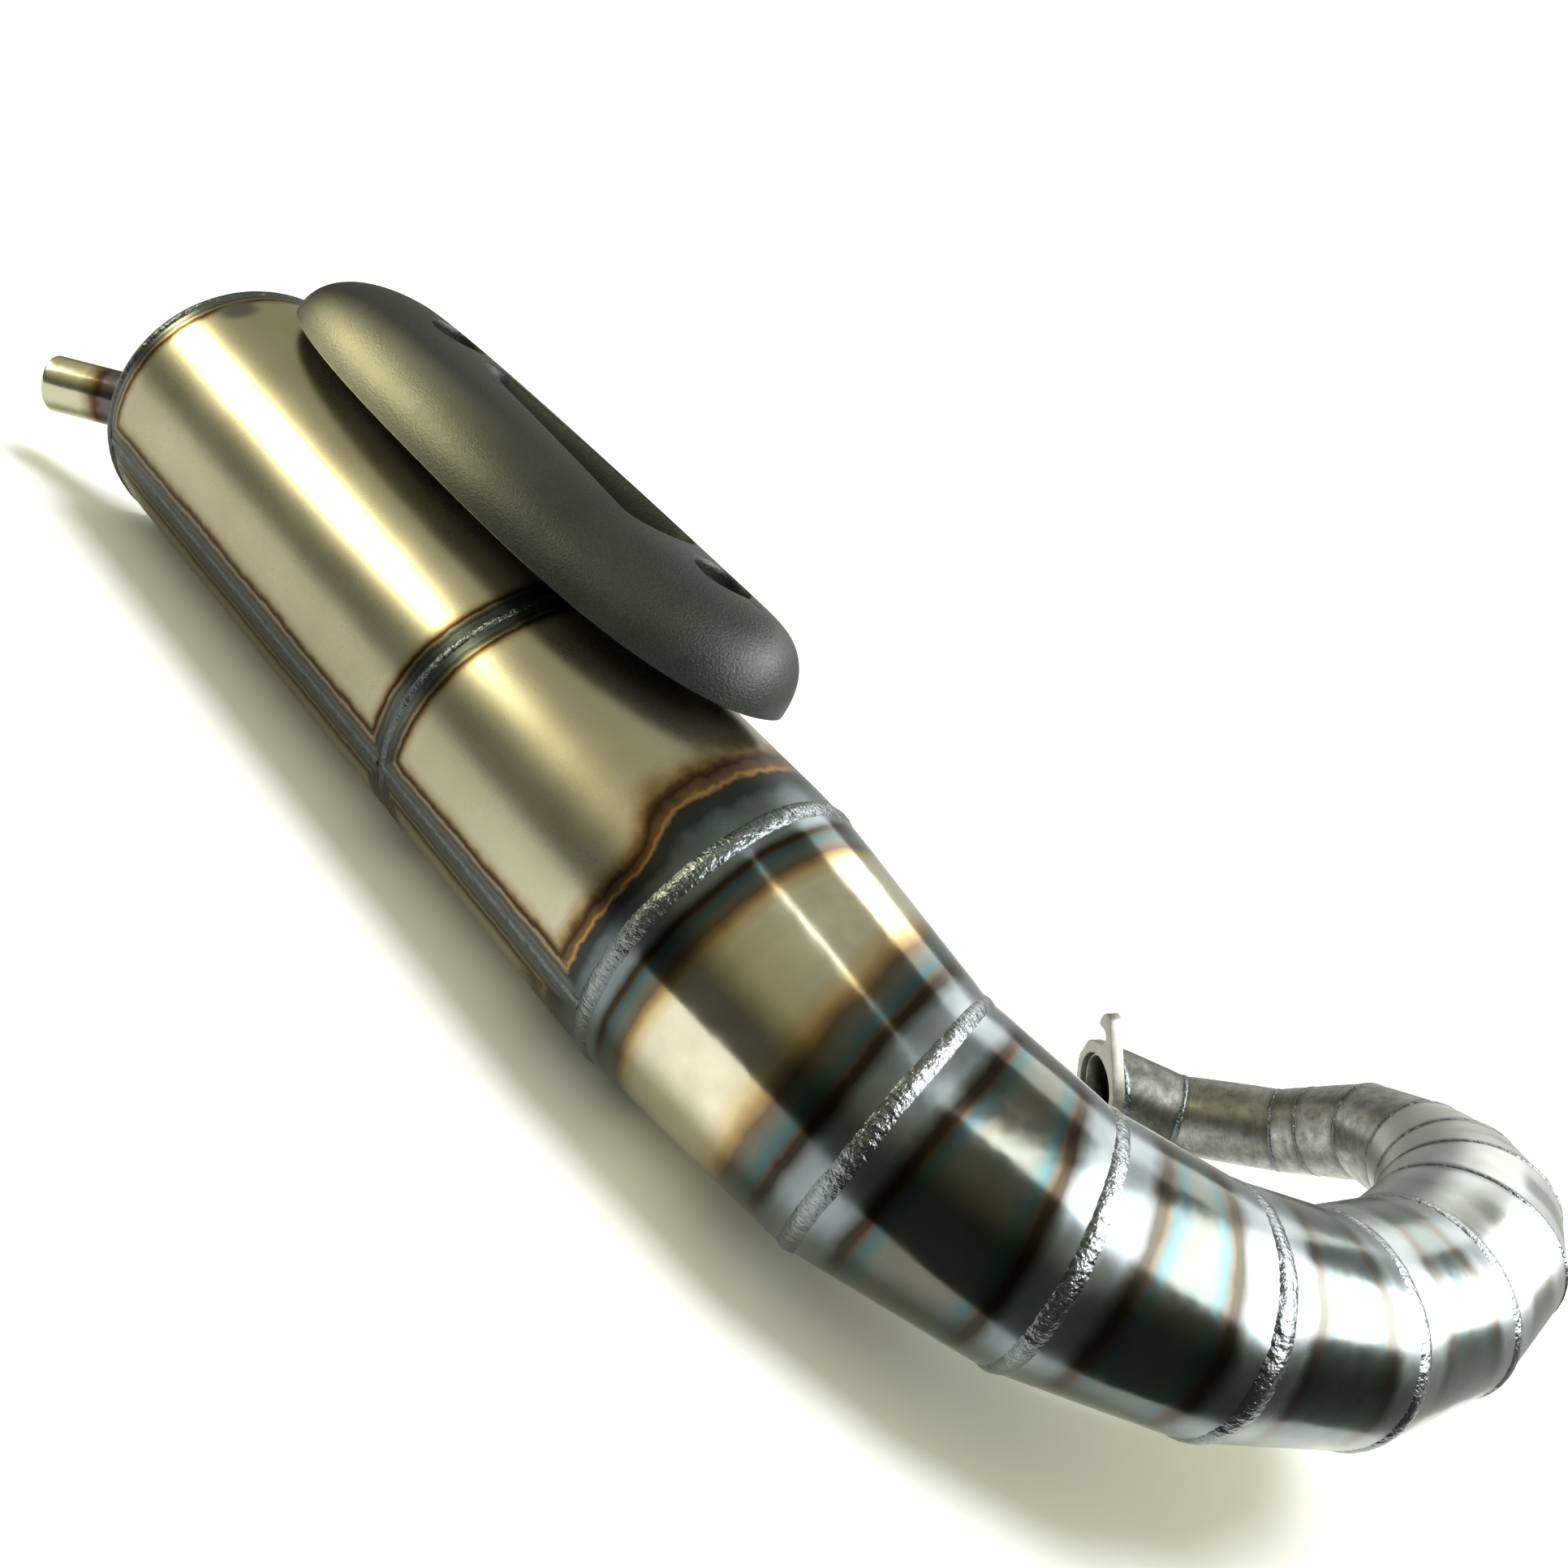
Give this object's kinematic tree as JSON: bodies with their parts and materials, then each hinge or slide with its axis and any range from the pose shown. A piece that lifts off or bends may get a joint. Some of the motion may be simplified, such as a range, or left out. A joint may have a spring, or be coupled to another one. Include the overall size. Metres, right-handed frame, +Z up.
{
  "type": "racing exhaust system",
  "caption": "Welded two-stroke exhaust: round barrel with a bolted heat guard, cone-segment header curling back to a two-slot flange, and a short angled tail pipe.",
  "frame": {"origin": "Middle of the exhaust's footprint, on the surface it rests on", "axes": "+X along the barrel from the tail pipe towards the header, +Z up from the resting surface out through the heat guard, +Y to the side the header curls to"},
  "size_m": [0.5314, 0.2876, 0.1253],
  "materials": {
    "barrel_steel": "satin raw steel, faintly straw coloured",
    "header_steel": "polished raw steel with heat tints",
    "return_steel": "dull grey raw steel",
    "weld_bead": "bright rippled weld metal",
    "flange_steel": "matte laser-cut plate",
    "guard_coating": "dark grey satin, finely textured",
    "tail_steel": "polished tube",
    "fastener_steel": "black oxide",
    "inner_steel": "unfinished sheet"
  },
  "bodies": {
    "root": {"end_cap_weld": "weld_bead", "front_barrel_shell": "barrel_steel", "front_seam_weld": "weld_bead", "guard_boss_front": "fastener_steel", "guard_boss_rear": "fastener_steel", "guard_screw_front": "fastener_steel", "guard_screw_rear": "fastener_steel", "guard_spacer_front": "fastener_steel", "guard_spacer_rear": "fastener_steel", "guard_washer_front": "fastener_steel", "guard_washer_rear": "fastener_steel", "hanger_bracket": "flange_steel", "header_cone_1": "header_steel", "header_cone_10": "return_steel", "header_cone_11": "return_steel", "header_cone_12": "return_steel", "header_cone_13": "return_steel", "header_cone_14": "return_steel", "header_cone_2": "header_steel", "header_cone_3": "header_steel", "header_cone_4": "header_steel", "header_cone_5": "header_steel", "header_cone_6": "header_steel", "header_cone_7": "header_steel", "header_cone_8": "header_steel", "header_cone_9": "return_steel", "heat_guard": "guard_coating", "inlet_flange": "flange_steel", "inlet_spigot": "return_steel", "mid_weld": "weld_bead", "rear_barrel_shell": "barrel_steel", "rear_bulkhead": "inner_steel", "rear_end_cap": "barrel_steel", "rear_seam_weld": "weld_bead", "reverse_cone": "inner_steel", "stinger_tube": "inner_steel", "tail_pipe": "tail_steel", "tail_weld": "weld_bead", "weld_0": "weld_bead", "weld_1": "weld_bead", "weld_10": "weld_bead", "weld_11": "weld_bead", "weld_12": "weld_bead", "weld_13": "weld_bead", "weld_14": "weld_bead", "weld_2": "weld_bead", "weld_3": "weld_bead", "weld_4": "weld_bead", "weld_5": "weld_bead", "weld_6": "weld_bead", "weld_7": "weld_bead", "weld_8": "weld_bead", "weld_9": "weld_bead"}
  },
  "joints": []
}
